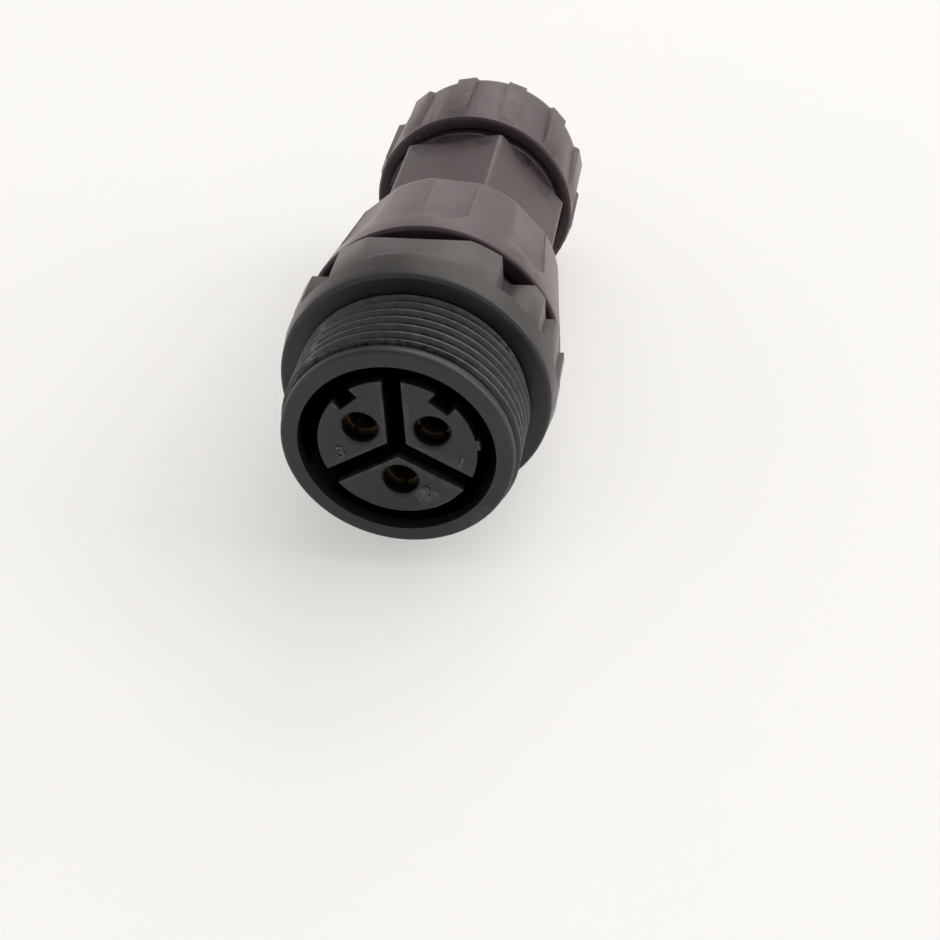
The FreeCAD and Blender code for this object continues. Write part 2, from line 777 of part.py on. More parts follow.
hexagon = new_sketch(rear_shell, "hexagon_outline", "XZ_Plane", -hex_rear)
hex_corners = []
for corner in range(6):
    corner_angle = Size(30.0 + 60.0 * corner)
    hex_corners.append((sine(corner_angle) * s.hex_corner_radius,
                        cosine(corner_angle) * s.hex_corner_radius))
draw_outline(hexagon, hex_corners)
pad_along(rear_shell, "hexagon", hexagon, s.hex_length)
gland_neck = new_sketch(rear_shell, "gland_neck_outline", "XZ_Plane", -gland_neck_rear)
draw_circle(gland_neck, 0, 0, s.gland_neck_radius)
pad_along(rear_shell, "gland_neck", gland_neck, s.gland_neck_length)

# The inside is cut once more, through the hexagon and the gland's neck
turn_profile(rear_shell, "bore", [
    (bore_end, 0),
    (bore_end, s.chamber_radius),
    (bore_end + s.chamber_length, s.chamber_radius),
    (claw_seat - s.throat_length, s.throat_radius),
    (claw_seat, s.throat_radius),
    (claw_seat, s.gland_bore_radius),
    (gland_neck_rear + OVERCUT, s.gland_bore_radius),
    (gland_neck_rear + OVERCUT, 0),
], kind="PartDesign::Groove")
place_body(rear_shell, s.rear_turn)

# Clamping claw: a ring with a lip in front and fingers that stand out of the gland's neck
clamp_claw = new_body("clamp_claw")
claw_radius = s.gland_bore_radius - s.thread_clearance
claw_foot_rear = claw_front + s.claw_foot_length
turn_profile(clamp_claw, "claw", [
    (claw_front, s.claw_lip_radius),
    (claw_front, claw_radius),
    (claw_rear - s.claw_taper_length, claw_radius),
    (claw_rear, s.claw_tip_radius),
    (claw_rear, s.claw_inner_radius),
    (claw_front + s.claw_lip_length, s.claw_inner_radius),
    (claw_front + s.claw_lip_length, s.claw_lip_radius),
])
claw_slot = new_sketch(clamp_claw, "slot_outline", "XY_Plane")
half_claw_slot = s.claw_slot_width / 2
draw_box(claw_slot, -half_claw_slot, half_claw_slot, claw_foot_rear, claw_rear + OVERCUT)
claw_slot_cut = cut_along(clamp_claw, "slot", claw_slot, claw_radius + OVERCUT)
repeat_round(clamp_claw, [claw_slot_cut], s.claw_count)
place_body(clamp_claw)

# Cable seal: a rubber sleeve inside the claw, behind its lip
cable_seal = new_body("cable_seal")
seal_front = claw_front + s.claw_lip_length + s.fit_clearance
seal_radius = s.claw_inner_radius - s.thread_clearance
turn_profile(cable_seal, "sleeve", [
    (seal_front, s.cable_radius),
    (seal_front, seal_radius),
    (seal_front + s.seal_length, seal_radius),
    (seal_front + s.seal_length, s.cable_radius),
])
place_body(cable_seal)

# Washer against the nut's shoulder, so that the nut turns easily on what it presses
gland_washer = new_body("gland_washer")
washer_radius = s.gland_neck_radius - s.thread_clearance
turn_profile(gland_washer, "ring", [
    (washer_rear - s.washer_thickness, s.washer_inner_radius),
    (washer_rear - s.washer_thickness, washer_radius),
    (washer_rear, washer_radius),
    (washer_rear, s.washer_inner_radius),
])
place_body(gland_washer)

# Gland nut: a slightly tapered cap with ribs round its side and an open cable entry
gland_nut = new_body("gland_nut")
nut_bore = s.gland_neck_radius + s.thread_clearance
turn_profile(gland_nut, "cap", [
    (nut_front, nut_bore),
    (nut_front, s.nut_radius - s.nut_edge),
    (nut_front + s.nut_edge, s.nut_radius),
    (nut_rear, s.nut_tail_radius),
    (nut_rear, s.nut_entry_radius),
    (nut_shoulder + s.nut_cone_length, s.nut_entry_radius),
    (nut_shoulder, s.nut_cone_radius),
    (nut_shoulder, nut_bore),
])
round_ring_edge(gland_nut, "rear_edge", s.nut_round, nut_rear, s.nut_tail_radius)
rib = new_sketch(gland_nut, "rib_profile", "YZ_Plane", -(s.rib_width / 2))
rib_front = nut_front + s.rib_start
rib_rear = rib_front + s.rib_length
rib_foot = s.nut_tail_radius - OVERCUT
draw_outline(rib, [
    (rib_front, rib_foot),
    (rib_rear, rib_foot),
    (rib_rear, s.nut_tail_radius),
    (rib_rear - s.rib_fade / 2, s.rib_radius),
    (rib_front + s.rib_fade, s.rib_radius),
    (rib_front, s.nut_radius - s.nut_edge),
])
rib_pad = pad_along(gland_nut, "rib", rib, s.rib_width)
repeat_round(gland_nut, [rib_pad], s.rib_count)
place_body(gland_nut, s.nut_turn)

doc.recompute()

sub_parts = [item for item in doc.Objects
             if item.TypeId in ("PartDesign::Body", "Part::Torus")]
for item in doc.Objects:
    if "Invalid" in item.State or "Error" in item.State:
        raise RuntimeError("%s failed: %s" % (item.Name, item.State))
for item in sub_parts:
    if item.Shape.isNull() or not item.Shape.isValid():
        raise RuntimeError("%s has no valid shape" % item.Label)
    if len(item.Shape.Solids) != 1:
        raise RuntimeError("%s has %d solids" % (item.Label, len(item.Shape.Solids)))

os.makedirs("parts", exist_ok=True)
for item in sub_parts:
    item.Shape.exportStep("parts/%s.step" % item.Label)
    print("%-20s %9.2f mm3" % (item.Label, item.Shape.Volume))
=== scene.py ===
# %% [markdown]
# # Inline socket connector
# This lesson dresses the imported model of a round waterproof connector. Its outer mouldings get
# softened edges, a real screw thread and raised contact numbers, and each material is made of nodes.

import math

import bmesh
import bpy
from mathutils import Matrix, Vector


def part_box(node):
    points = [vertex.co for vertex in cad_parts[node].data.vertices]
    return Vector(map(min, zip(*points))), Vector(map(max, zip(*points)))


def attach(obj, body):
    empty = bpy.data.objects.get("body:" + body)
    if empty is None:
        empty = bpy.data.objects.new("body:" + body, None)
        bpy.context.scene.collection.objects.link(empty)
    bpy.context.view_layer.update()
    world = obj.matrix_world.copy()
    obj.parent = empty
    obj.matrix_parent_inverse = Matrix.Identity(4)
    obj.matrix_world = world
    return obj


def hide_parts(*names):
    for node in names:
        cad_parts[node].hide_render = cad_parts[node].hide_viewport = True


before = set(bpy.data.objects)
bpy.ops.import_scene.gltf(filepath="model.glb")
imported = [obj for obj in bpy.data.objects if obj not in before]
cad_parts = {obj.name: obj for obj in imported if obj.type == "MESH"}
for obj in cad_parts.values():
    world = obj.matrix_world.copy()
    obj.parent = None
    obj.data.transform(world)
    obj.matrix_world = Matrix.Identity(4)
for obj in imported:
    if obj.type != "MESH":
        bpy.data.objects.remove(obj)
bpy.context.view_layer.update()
MM = 0.001

# %% [markdown]
# ## Shared places
# The real maker dimensions everything from the mouth's front face. The frame's origin sits in the
# middle of the coupling thread, so a place along the axis is a distance from the face less 6.2 mm.

# %%
# Places and small helpers
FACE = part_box("front_shell")[0].y


def along(distance):
    """A distance behind the mouth's front face, in mm, as a y in the row frame."""
    return FACE + distance * MM


def collection_object(name, mesh):
    """A new object at the origin for this mesh."""
    thing = bpy.data.objects.new(name, mesh)
    bpy.context.scene.collection.objects.link(thing)
    return thing


def smooth(mesh, degrees):
    """Smooth shading, with edges sharper than this angle kept sharp."""
    bm = bmesh.new()
    bm.from_mesh(mesh)
    for face in bm.faces:
        face.smooth = True
    for edge in bm.edges:
        sharp = len(edge.link_faces) != 2 or edge.calc_face_angle(0.0) > math.radians(degrees)
        edge.smooth = not sharp
    bm.to_mesh(mesh)
    bm.free()


print("front face at y = %.4f m" % FACE)

# %% [markdown]
# ## Softened mouldings
# An injection-moulded edge is never sharp: the cutter leaves a radius in the steel, and the plastic
# shrinks round it. A merged copy of each solid gets its long corners bevelled by a fraction of a
# millimetre, so that they catch the light as the real ones do. A Bevel modifier could do that too,
# but the operator lets each piece choose its own corners by angle and by place.

# %%
# Copies of the CAD solids with bevelled corners


def merged_copy(node):
    """The node's mesh in bmesh, merged, with its flat areas joined into large faces."""
    bm = bmesh.new()
    bm.from_mesh(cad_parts[node].data)
    bmesh.ops.remove_doubles(bm, verts=bm.verts, dist=0.002 * MM)
    bmesh.ops.dissolve_limit(bm, angle_limit=math.radians(0.4), verts=bm.verts, edges=bm.edges)
    return bm


def everything(bm):
    """All the vertices, edges and faces, for an operator that cuts."""
    return list(bm.verts) + list(bm.edges) + list(bm.faces)


def bevel_corners(bm, width, degrees, chosen=None):
    """Bevels the corners sharper than an angle, or those of them that are chosen, by a width in mm."""
    corners = []
    for edge in bm.edges:
        if len(edge.link_faces) == 2 and edge.calc_face_angle(0.0) > math.radians(degrees):
            if chosen is None or chosen(edge):
                corners.append(edge)
    bmesh.ops.bevel(bm, geom=corners, offset=width * MM, offset_type="OFFSET", segments=2,
                    profile=0.5, affect="EDGES", clamp_overlap=True, material=-1)


def finished_piece(name, bm, body, node, degrees=35.0):
    """Writes the bmesh to an object that rides on its body and stands for its node."""
    bmesh.ops.recalc_face_normals(bm, faces=bm.faces)
    mesh = bpy.data.meshes.new(name)
    bm.to_mesh(mesh)
    bm.free()
    smooth(mesh, degrees)
    piece = collection_object(name, mesh)
    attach(piece, body)
    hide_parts(node)
    print(name, len(mesh.polygons), "faces")
    return piece


# %% [markdown]
# ## Front shell and its coupling thread
# The solid has a plain cylinder where the thread is. Here that cylinder is let down to the thread's
# root, and a ridge is spun round it, as a lathe tool would trace it: one turn for each 1.5 mm.
# A bump pattern could fake a thread this fine, but its crests show on the outline.

# %%
# Front shell with the thread's root cylinder
THREAD_START = along(1.7)
THREAD_END = along(10.7)
CREST = 14.0
ROOT = 13.1
PITCH = 1.5
GRIP_START = along(13.5)
GRIP_END = along(20.45)

bm = merged_copy("front_shell")
for vert in bm.verts:
    radius = math.hypot(vert.co.x, vert.co.z)
    on_crest = radius > (CREST - 0.06) * MM and THREAD_START - 0.02 * MM < vert.co.y
    if on_crest and vert.co.y < THREAD_END + 0.02 * MM:
        vert.co.x *= ROOT * MM / radius
        vert.co.z *= ROOT * MM / radius
bmesh.ops.remove_doubles(bm, verts=bm.verts, dist=0.004 * MM)


def on_grip(edge):
    """An outer corner of the flange or the stepped grip."""
    middle = (edge.verts[0].co + edge.verts[1].co) / 2
    return GRIP_START < middle.y < GRIP_END


bevel_corners(bm, width=0.28, degrees=28.0, chosen=on_grip)
front = finished_piece("front_moulding", bm, "front", "front_shell")

# %%
# The thread's ridge, spun and cut flush at both ends


def spun_thread(crest, root, pitch, start, end, crest_width, root_width, steps):
    """A right-hand thread ridge: its section is spun with a steady advance, then trimmed."""
    bm = bmesh.new()
    first = start - pitch * MM
    section = [(root - 0.25, -root_width / 2), (root, -root_width / 2),
               (crest - 0.07, -crest_width / 2 - 0.03), (crest, -crest_width / 2 + 0.06),
               (crest, crest_width / 2 - 0.06), (crest - 0.07, crest_width / 2 + 0.03),
               (root, root_width / 2), (root - 0.25, root_width / 2)]
    verts = [bm.verts.new((0.0, first + offset * MM, radius * MM)) for radius, offset in section]
    loop = bm.faces.new(verts)
    turns = math.ceil((end - start) / (pitch * MM)) + 2
    bmesh.ops.spin(bm, geom=[loop] + list(loop.edges) + list(loop.verts), cent=(0, 0, 0),
                   axis=(0, 1, 0), dvec=(0, pitch * MM / steps, 0),
                   angle=math.radians(360.0) * turns, steps=steps * turns, use_duplicate=False)
    for place, side in ((start, -1), (end, 1)):
        cut = bmesh.ops.bisect_plane(bm, geom=everything(bm), plane_co=(0, place, 0),
                                     plane_no=(0, side, 0), clear_outer=True)
        rim = [item for item in cut["geom_cut"] if isinstance(item, bmesh.types.BMEdge)]
        bmesh.ops.holes_fill(bm, edges=rim, sides=0)
    return bm


bm = spun_thread(CREST, ROOT, PITCH, THREAD_START, THREAD_END,
                 crest_width=0.34, root_width=1.28, steps=80)
thread = finished_piece("coupling_thread", bm, "front", "front_shell", degrees=50.0)

# %% [markdown]
# ## Rear shell, gland nut and insert
# The nut and the insert keep the solids' shapes, with rounded corners. On the rear shell the real
# ridges end with a short soft shoulder in front of a long hexagon, so the copy is sliced across there,
# its round part is drawn in to that shoulder, and a hollow hexagon is set round it. Boolean cuts could
# make the same form, but they leave long slivers that shade badly.

# %%
# Rear shell: its round part drawn in to the shoulder
SHOULDER_START = 37.6
SHOULDER_LENGTH = 5.4
SHOULDER_RADIUS = 14.08
SHOULDER_SLICES = 12
WAIST_RADIUS = 11.0
HEX_FRONT = 37.8
HEX_REAR = 54.28


def shoulder_radius(distance):
    """The round body's radius in mm at a distance behind the face: full, a soft fall, then the waist."""
    share = min(max((distance - SHOULDER_START) / SHOULDER_LENGTH, 0.0), 1.0)
    return SHOULDER_RADIUS - (SHOULDER_RADIUS - WAIST_RADIUS) * share * share * (3.0 - 2.0 * share)


def draw_in_shoulder(bm):
    """Slices the body across and draws its outside in to the shoulder's curve."""
    cuts = [SHOULDER_START + SHOULDER_LENGTH * step / SHOULDER_SLICES
            for step in range(SHOULDER_SLICES + 1)]
    for distance in cuts + [HEX_REAR - 0.5]:
        bmesh.ops.bisect_plane(bm, geom=everything(bm), plane_co=(0, along(distance), 0),
                               plane_no=(0, 1, 0))
    bmesh.ops.triangulate(bm, faces=bm.faces)
    for vert in bm.verts:
        distance = (vert.co.y - FACE) / MM
        radius = math.hypot(vert.co.x, vert.co.z) / MM
        wanted = shoulder_radius(distance)
        if SHOULDER_START - 0.01 < distance < HEX_REAR - 0.4 and radius > wanted:
            vert.co.x *= wanted / radius
            vert.co.z *= wanted / radius


bm = merged_copy("rear_shell")
bevel_corners(bm, width=0.3, degrees=24.0)
draw_in_shoulder(bm)
rear = finished_piece("rear_moulding", bm, "rear", "rear_shell")

# %%
# Rear shell: the hexagon round its waist
HEX_CORNER = 12.9
HEX_ROUND = 0.3
HEX_WALL = 0.5
HEX_MARGIN = 0.25


def hollow_hexagon(bm, turn):
    """A six-sided sleeve round the axis. Margins on its flats keep the rubbed edges narrow."""
    lay = Matrix.Translation((0, along(HEX_FRONT), 0)) @ Matrix.Rotation(math.radians(turn), 4, "Y")
    bmesh.ops.create_circle(bm, cap_ends=True, segments=6, radius=HEX_CORNER * MM,
                            matrix=lay @ Matrix.Rotation(math.radians(-90.0), 4, "X"))
    bmesh.ops.bevel(bm, geom=list(bm.verts), offset=HEX_ROUND * MM, offset_type="OFFSET", segments=3,
                    profile=0.5, affect="VERTICES", clamp_overlap=True, material=-1)
    hole = max(bm.faces, key=lambda face: len(face.verts))
    bmesh.ops.inset_region(bm, faces=[hole], thickness=HEX_WALL * MM, use_even_offset=True,
                           use_boundary=True)
    bmesh.ops.delete(bm, geom=[hole], context="FACES_ONLY")
    made = bmesh.ops.extrude_face_region(bm, geom=list(bm.faces))["geom"]
    rear_verts = [item for item in made if isinstance(item, bmesh.types.BMVert)]
    bmesh.ops.translate(bm, verts=rear_verts, vec=(0, (HEX_REAR - HEX_FRONT) * MM, 0))
    flats = [face for face in bm.faces if face.calc_area() > 20 * MM * MM]
    bmesh.ops.inset_individual(bm, faces=flats, thickness=HEX_MARGIN * MM, use_even_offset=True)


def solid_hexagon_turn():
    """The angle in degrees of a corner of the solid's hexagon, found on its last few millimetres."""
    near = [v.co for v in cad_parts["rear_shell"].data.vertices
            if along(50.0) < v.co.y < along(54.0) or abs(v.co.y - along(54.3)) < 0.01 * MM]
    corner = max(near, key=lambda place: math.hypot(place.x, place.z))
    return math.degrees(math.atan2(corner.x, corner.z))


bm = bmesh.new()
hollow_hexagon(bm, solid_hexagon_turn())
hexagon = finished_piece("rear_hexagon", bm, "rear", "rear_shell", degrees=30.0)
print("a corner of the hexagon is at %.1f degrees" % solid_hexagon_turn())

# %%
# Gland nut and insert
bm = merged_copy("gland_nut")
bevel_corners(bm, width=0.16, degrees=24.0)
nut = finished_piece("nut_moulding", bm, "nut", "gland_nut")

bm = merged_copy("socket_insert")
bevel_corners(bm, width=0.12, degrees=40.0)
insert = finished_piece("insert_moulding", bm, "front", "socket_insert")

# %% [markdown]
# ## Contact numbers
# Each lobe carries a small raised numeral beside its contact, cut into the mould so that it stands
# proud. A text curve with a little depth makes the same shape, and it is turned into a mesh before it
# is put in its place.

# %%
# Raised numerals 1, 2 and 3
DIGIT_HEIGHT = 1.6
FONT_SIZE = DIGIT_HEIGHT * 1.4
DIGIT_PLACES = {"1": (7.35, -1.45, 20.0), "2": (3.05, -6.2, -15.0), "3": (-6.6, -1.1, -10.0)}


def raised_digit(text, x, z, turn):
    """A numeral that stands 0.18 mm proud of the lobe's face."""
    curve = bpy.data.curves.new("digit_" + text, "FONT")
    curve.body = text
    curve.size = FONT_SIZE * MM
    curve.extrude = 0.14 * MM
    curve.bevel_depth = 0.04 * MM
    curve.bevel_resolution = 1
    curve.align_x = "CENTER"
    curve.align_y = "CENTER"
    holder = collection_object("digit_curve", curve)
    bpy.context.view_layer.update()
    mesh = bpy.data.meshes.new_from_object(holder)
    bpy.data.objects.remove(holder)
    stand = Matrix.Rotation(math.radians(90.0), 4, "X")
    spin = Matrix.Rotation(math.radians(turn), 4, "Y")
    mesh.transform(Matrix.Translation((x * MM, along(0.5), z * MM)) @ spin @ stand)
    smooth(mesh, 40.0)
    piece = collection_object("contact_number_" + text, mesh)
    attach(piece, "front")
    return piece


digits = [raised_digit(text, *place) for text, place in DIGIT_PLACES.items()]
print(len(digits), "numerals")

# %% [markdown]
# ## Materials
# One function adds nodes and one converts hex colours, and each finish is a short recipe of noise at
# its real size. Patterns use object coordinates, so they stay on the piece when it moves, and no
# piece needs to be unwrapped.

# %%
# Node helpers


def grey(level):
    """A grey of this linear level as RGBA."""
    return (level, level, level, 1.0)


def linear(hex_colour):
    """A hex sRGB colour as linear RGBA."""
    parts = [int(hex_colour[i:i + 2], 16) / 255 for i in (1, 3, 5)]
    return [c / 12.92 if c <= 0.04045 else ((c + 0.055) / 1.055) ** 2.4 for c in parts] + [1.0]


def node(tree, kind, inputs=None, **settings):
    """Adds a node, sets its properties and fills or links its inputs."""
    made = tree.nodes.new(kind)
    for key, value in settings.items():
        setattr(made, key, value)
    for key, value in (inputs or {}).items():
        if isinstance(value, bpy.types.NodeSocket):
            tree.links.new(value, made.inputs[key])
        else:
            made.inputs[key].default_value = value
    return made


def new_material(name):
    """An empty node material with its shader and object coordinates."""
    material = bpy.data.materials.new(name)
    material.use_nodes = True
    tree = material.node_tree
    tree.nodes.clear()
    shader = node(tree, "ShaderNodeBsdfPrincipled")
    node(tree, "ShaderNodeOutputMaterial", {"Surface": shader.outputs["BSDF"]})
    where = node(tree, "ShaderNodeTexCoord").outputs["Object"]
    return material, tree, shader, where


def noise(tree, where, size, detail=3.0, roughness=0.5):
    """Noise whose blobs are about this many millimetres across."""
    return node(tree, "ShaderNodeTexNoise", {"Vector": where, "Scale": 1.0 / (size * MM),
                                             "Detail": detail, "Roughness": roughness}).outputs["Fac"]


def band(tree, value, low, high, out_low=0.0, out_high=1.0):
    """Maps a value from one range to another, and holds it there."""
    return node(tree, "ShaderNodeMapRange", {"Value": value, "From Min": low, "From Max": high,
                                             "To Min": out_low, "To Max": out_high}).outputs["Result"]


def mix(tree, share, first, second):
    """Mixes two colours or sockets by a share."""
    return node(tree, "ShaderNodeMix", {0: share, 6: first, 7: second}, data_type="RGBA").outputs[2]


def times(tree, first, second):
    """Multiplies two values."""
    return node(tree, "ShaderNodeMath", {0: first, 1: second}, operation="MULTIPLY").outputs[0]


def relief(tree, shader, height, strength, depth):
    """Bumps the shader's surface by a height pattern, this many millimetres deep."""
    bump = node(tree, "ShaderNodeBump", {"Height": height, "Strength": strength, "Distance": depth * MM})
    tree.links.new(bump.outputs["Normal"], shader.inputs["Normal"])


def dress(piece, material):
    """Gives a piece one material."""
    slots = piece.data.materials
    if len(slots):
        for index in range(len(slots)):
            slots[index] = material
    else:
        slots.append(material)


# %% [markdown]
# ## Moulded nylon
# Glass-filled nylon comes out of the mould satin, with a grain of a quarter of a millimetre from the
# eroded steel. Handling leaves paler rubbed corners and a few short scuffs, and dust sits in patches.
# The patches are about 9 mm across, the rubbing breaks up every 0.9 mm, and a scuff is 0.35 mm wide.
# Real erosion is finer than the grain here, which is drawn at 0.22 mm so that it shows.

# %%
# Moulded plastics


def moulded(name, dark, pale, rough, grain, wear, scuffs, bloom=0.0, tint="#ffffff"):
    """Moulded nylon: two tones in soft patches, rubbed corners, scuffs, a fine grain and a dusty bloom."""
    material, tree, shader, where = new_material(name)
    patches = band(tree, noise(tree, where, 9.0, 4.0), 0.35, 0.7)
    colour = mix(tree, patches, linear(dark), linear(pale))
    edge = node(tree, "ShaderNodeNewGeometry").outputs["Pointiness"]
    rubbed = band(tree, edge, 0.53, 0.62, 0.0, wear)
    broken = times(tree, rubbed, band(tree, noise(tree, where, 0.9), 0.35, 0.7))
    colour = mix(tree, broken, colour, linear("#8d8782"))
    stretch = node(tree, "ShaderNodeMapping", {"Vector": where, "Scale": (1.0, 0.25, 1.0),
                                               "Rotation": (0.0, 0.0, 0.5)}).outputs["Vector"]
    scratch = band(tree, noise(tree, stretch, 0.35, 1.0), 0.70, 0.78)
    region = band(tree, noise(tree, where, 5.0, 2.0), 0.60, 0.70, 0.0, scuffs)
    colour = mix(tree, times(tree, scratch, region), colour, linear("#a09a95"))
    tree.links.new(colour, shader.inputs["Base Color"])
    satin = band(tree, noise(tree, where, 3.5, 3.0), 0.3, 0.7, rough - 0.03, rough + 0.05)
    tree.links.new(satin, shader.inputs["Roughness"])
    relief(tree, shader, noise(tree, where, 0.22, 2.0), grain, 0.02)
    shader.inputs["IOR"].default_value = 1.5
    shader.inputs["Specular Tint"].default_value = linear(tint)
    shader.inputs["Sheen Weight"].default_value = bloom
    shader.inputs["Sheen Roughness"].default_value = 0.4
    shader.inputs["Sheen Tint"].default_value = linear("#fbe6e4")
    return material


# %% [markdown]
# ## Handling, painted shade and grease
# A used part isn't the same all over. These three recipes reopen a finished material and change it
# along the axis: a film from hands, painted shade in the depths and on the neck, and grease smudges.
# Each film or shade starts at a real edge of the moulding.

# %%
# Changes along the axis


def reopened(material):
    """A material's tree, shader, object coordinates and place along the axis."""
    tree = material.node_tree
    where = tree.nodes["Texture Coordinate"].outputs["Object"]
    place = node(tree, "ShaderNodeSeparateXYZ", {0: where}).outputs["Y"]
    return tree, tree.nodes["Principled BSDF"], where, place


def handled_grip(material, start, end):
    """Warms the plastic behind the flange, where hands leave a dusty film on it."""
    tree, shader, where, place = reopened(material)
    share = band(tree, place, start, end)
    film = mix(tree, share, grey(1.0), linear("#ffeee4"))
    tree.links.new(film, shader.inputs["Specular Tint"])
    tree.links.new(times(tree, share, 0.22), shader.inputs["Sheen Weight"])


def painted_depth_shade(material, start, end, left):
    """Paints the walls behind a face near black and takes their shine off, as painted shade."""
    tree, shader, where, place = reopened(material)
    share = band(tree, place, start, end)
    plain = shader.inputs["Base Color"].links[0].from_socket
    # Painted shade: behind the start the colour goes near black and the specular tint falls.
    tree.links.new(mix(tree, share, plain, linear("#050506")), shader.inputs["Base Color"])
    tree.links.new(mix(tree, share, grey(1.0), grey(left)), shader.inputs["Specular Tint"])


def painted_neck_shade_and_smudges(material, tint, bloom, smudge_start, neck_start):
    """Paints the gland's neck near black as painted shade, and puts dark grease smudges on the hexagon
    before it.
    """
    tree, shader, where, place = reopened(material)
    # The neck's near black is painted shade; the noise smudges before it are grease.
    shaded_neck = band(tree, place, neck_start, neck_start + 0.3 * MM)
    near = band(tree, place, smudge_start, neck_start)
    smudge = times(tree, near, band(tree, noise(tree, where, 2.6, 4.0), 0.5, 0.62, 0.0, 0.75))
    shade_and_grease = node(tree, "ShaderNodeMath", {0: shaded_neck, 1: smudge}, operation="MAXIMUM").outputs[0]
    clear_of_shade_and_grease = band(tree, shade_and_grease, 0.0, 1.0, 1.0, 0.12)
    tree.links.new(mix(tree, clear_of_shade_and_grease, grey(0.04), linear(tint)), shader.inputs["Specular Tint"])
    tree.links.new(times(tree, clear_of_shade_and_grease, bloom), shader.inputs["Sheen Weight"])
    plain = shader.inputs["Base Color"].links[0].from_socket
    tree.links.new(mix(tree, clear_of_shade_and_grease, grey(0.002), plain), shader.inputs["Base Color"])


# %%
# Plastics of the front, the rear, the nut and the insert
FADED = "#ffe3e6"

# Black nylon of the front shell: neutral and satin, with a warm film from hands on the grip.
front_plastic = moulded("front_plastic", "#131416", "#1a1b1d", rough=0.40, grain=0.35, wear=0.12,
                        scuffs=0.20)
handled_grip(front_plastic, along(11.3), along(12.8))

# The same nylon on the thread: smoother and cooler, and scuffed along the crests by the plug's ring.
thread_plastic = moulded("thread_plastic", "#16191b", "#1d2223", rough=0.36, grain=0.20, wear=0.55,
                         scuffs=0.35, bloom=0.05, tint="#f6fcfb")

# The rear shell's nylon has faded: a dusty bloom lifts it to a brownish grey, up to the neck, which is
# painted near black as painted shade.
rear_plastic = moulded("rear_plastic", "#1e1819", "#262021", rough=0.40, grain=0.45, wear=0.12,
                       scuffs=0.15, bloom=0.30, tint=FADED)
painted_neck_shade_and_smudges(rear_plastic, FADED, 0.30, along(48.5), along(54.4))

# The nut's nylon has faded in the same way, and is a little rougher.
nut_plastic = moulded("nut_plastic", "#1e1819", "#262021", rough=0.42, grain=0.45, wear=0.12,
                      scuffs=0.10, bloom=0.30, tint=FADED)

# The insert's face is dull black, and its slot and walls, which take almost no light, are painted near
# black as painted shade.
insert_plastic = moulded("insert_plastic", "#141516", "#1b1c1d", rough=0.42, grain=0.35, wear=0.35,
                         scuffs=0.12)
painted_depth_shade(insert_plastic, along(0.62), along(1.6), left=0.25)

# The numerals are a shade paler than the face, and paler still along their sharp edges.
number_plastic = moulded("number_plastic", "#2b2c2e", "#37383a", rough=0.38, grain=0.20, wear=0.60,
                         scuffs=0.10)

# The hidden housing is plain black, and the gland's claw a dark grey.
housing_plastic = moulded("housing_plastic", "#191919", "#202020", rough=0.45, grain=0.35, wear=0.15,
                          scuffs=0.10)
claw_plastic = moulded("claw_plastic", "#3a3a3b", "#454546", rough=0.45, grain=0.35, wear=0.15,
                       scuffs=0.10)

for piece, material in ((front, front_plastic), (thread, thread_plastic), (rear, rear_plastic),
                        (hexagon, rear_plastic), (nut, nut_plastic), (insert, insert_plastic)):
    dress(piece, material)
for digit in digits:
    dress(digit, number_plastic)
print("8 plastics, of which 6 are on", 6 + len(digits), "new pieces")

# %% [markdown]
# ## Brass, steel and rubber
# The contacts are turned from brass rod, so fine rings run round them, and a dull film lies on them in
# patches; the bore is painted dark further in, as painted shade. The screws are zinc plated, and the
# seals are matte silicone with a dusting of talc.
# Tool rings are about 0.1 mm apart on such parts, and are drawn 0.4 mm apart here so that they show.

# %%
# Metals and rubber


def turned_metal(name, bright, dull, rough):
    """Turned metal: fine tool rings along the axis and a patchy film."""
    material, tree, shader, where = new_material(name)
    film = band(tree, noise(tree, where, 1.6, 4.0), 0.35, 0.7)
    tree.links.new(mix(tree, film, linear(bright), linear(dull)), shader.inputs["Base Color"])
    shader.inputs["Metallic"].default_value = 1.0
    tree.links.new(band(tree, film, 0.0, 1.0, rough, rough + 0.15), shader.inputs["Roughness"])
    rings = node(tree, "ShaderNodeTexWave", {"Vector": where, "Scale": 0.8 / MM, "Distortion": 0.6},
                 bands_direction="Y").outputs["Fac"]
    relief(tree, shader, rings, 0.15, 0.01)
    return material


def matte_rubber(name, dark, dusty):
    """Silicone rubber: nearly black, with pale dust in patches."""
    material, tree, shader, where = new_material(name)
    dust = band(tree, noise(tree, where, 3.0, 5.0), 0.45, 0.75, 0.0, 0.6)
    tree.links.new(mix(tree, dust, linear(dark), linear(dusty)), shader.inputs["Base Color"])
    tree.links.new(band(tree, dust, 0.0, 0.6, 0.62, 0.8), shader.inputs["Roughness"])
    relief(tree, shader, noise(tree, where, 0.3, 3.0), 0.3, 0.02)
    shader.inputs["IOR"].default_value = 1.42
    return material


# %%
# Metals and rubber on the solids

# Brass of the contacts: a dull yellow ring at each mouth, painted dark further in as painted shade in the
# bore.
brass = turned_metal("contact_brass", "#9c8053", "#5e4a30", rough=0.42)
painted_depth_shade(brass, along(3.3), along(5.5), left=0.2)

# Spring steel is bright and hard, and zinc plate on the screws is whiter and smoother.
spring_steel = turned_metal("spring_steel", "#b9b9ba", "#8e8e90", rough=0.30)
screw_steel = turned_metal("screw_steel", "#c4c5c8", "#9fa0a3", rough=0.26)

# Silicone of the seals: matte black, greyed by talc.
black_rubber = matte_rubber("black_rubber", "#0e0e0f", "#2a2a2b")

